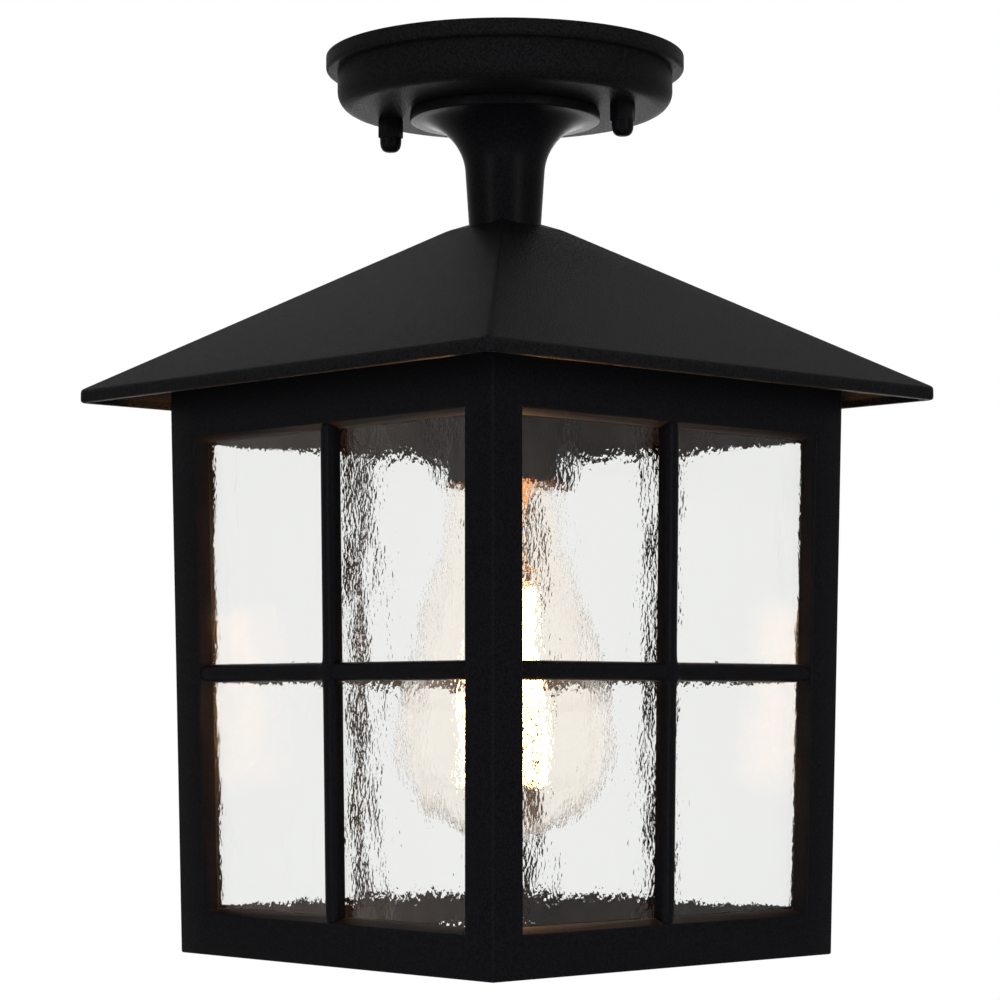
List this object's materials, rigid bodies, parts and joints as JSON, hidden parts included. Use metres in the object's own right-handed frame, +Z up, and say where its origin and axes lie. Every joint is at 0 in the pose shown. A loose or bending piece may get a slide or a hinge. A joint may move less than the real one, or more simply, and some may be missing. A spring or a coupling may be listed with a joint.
{
  "type": "porch ceiling lantern",
  "caption": "Square cast ceiling lantern with a pyramid roof, four rippled glass windows with glazing bars, an open bottom and a short neck under a round canopy.",
  "frame": {"origin": "on the lantern's axis, at the ceiling face of the mounting strap", "axes": "+Z up into the ceiling; the four windows face along +X, -X, +Y and -Y"},
  "size_m": [0.19, 0.19, 0.2784],
  "materials": {
    "black_casting": "cast, with a satin black powder coat of fine texture",
    "black_nut": "satin black",
    "gasket_rubber": "matt foam rubber",
    "zinc_steel": "bright zinc plate",
    "brass": "bright",
    "white_ceramic": "glazed porcelain",
    "black_bakelite": "moulded, half gloss",
    "wire_brown": "silicone sleeve",
    "wire_blue": "silicone sleeve",
    "wire_green": "silicone sleeve",
    "water_glass": "clear, with a rippled front",
    "bulb_glass": "clear and thin",
    "nickel_cap": "nickel plate",
    "black_glass": "fused black glass",
    "solder": "tinned",
    "filament": "yellow coated strip, lit"
  },
  "bodies": {
    "lantern": {"canopy": "black_casting", "canopy_gasket": "gasket_rubber", "mounting_strap": "zinc_steel", "canopy_studs": "zinc_steel", "stud_nuts": "zinc_steel", "cap_nuts": "black_nut", "terminal_block": "white_ceramic", "terminal_screws": "zinc_steel", "earth_screw": "brass", "live_wire": "wire_brown", "neutral_wire": "wire_blue", "earth_wire": "wire_green", "neck": "black_casting", "threaded_tube": "zinc_steel", "tube_nuts": "zinc_steel", "tube_washers": "zinc_steel", "roof": "black_casting", "roof_screws": "zinc_steel", "body_cage": "black_casting", "pane_front": "water_glass", "pane_right": "water_glass", "pane_back": "water_glass", "pane_left": "water_glass", "glass_clips": "zinc_steel", "clip_screws": "zinc_steel", "lampholder_cap": "black_bakelite", "lampholder_skirt": "black_bakelite", "lampholder_core": "white_ceramic", "lampholder_shell": "brass", "lampholder_contact": "brass", "lampholder_screws": "zinc_steel"},
    "bulb": {"bulb_glass": "bulb_glass", "bulb_cap": "nickel_cap", "bulb_insulator": "black_glass", "bulb_contact": "solder", "bulb_stem": "bulb_glass", "bulb_filaments": "filament", "filament_wires": "nickel_cap"}
  },
  "joints": [
    {"name": "bulb_withdraw", "type": "slide", "parent": "lantern", "child": "bulb", "axis": [0, 0, -1], "range_m": [0, 0.18]}
  ]
}
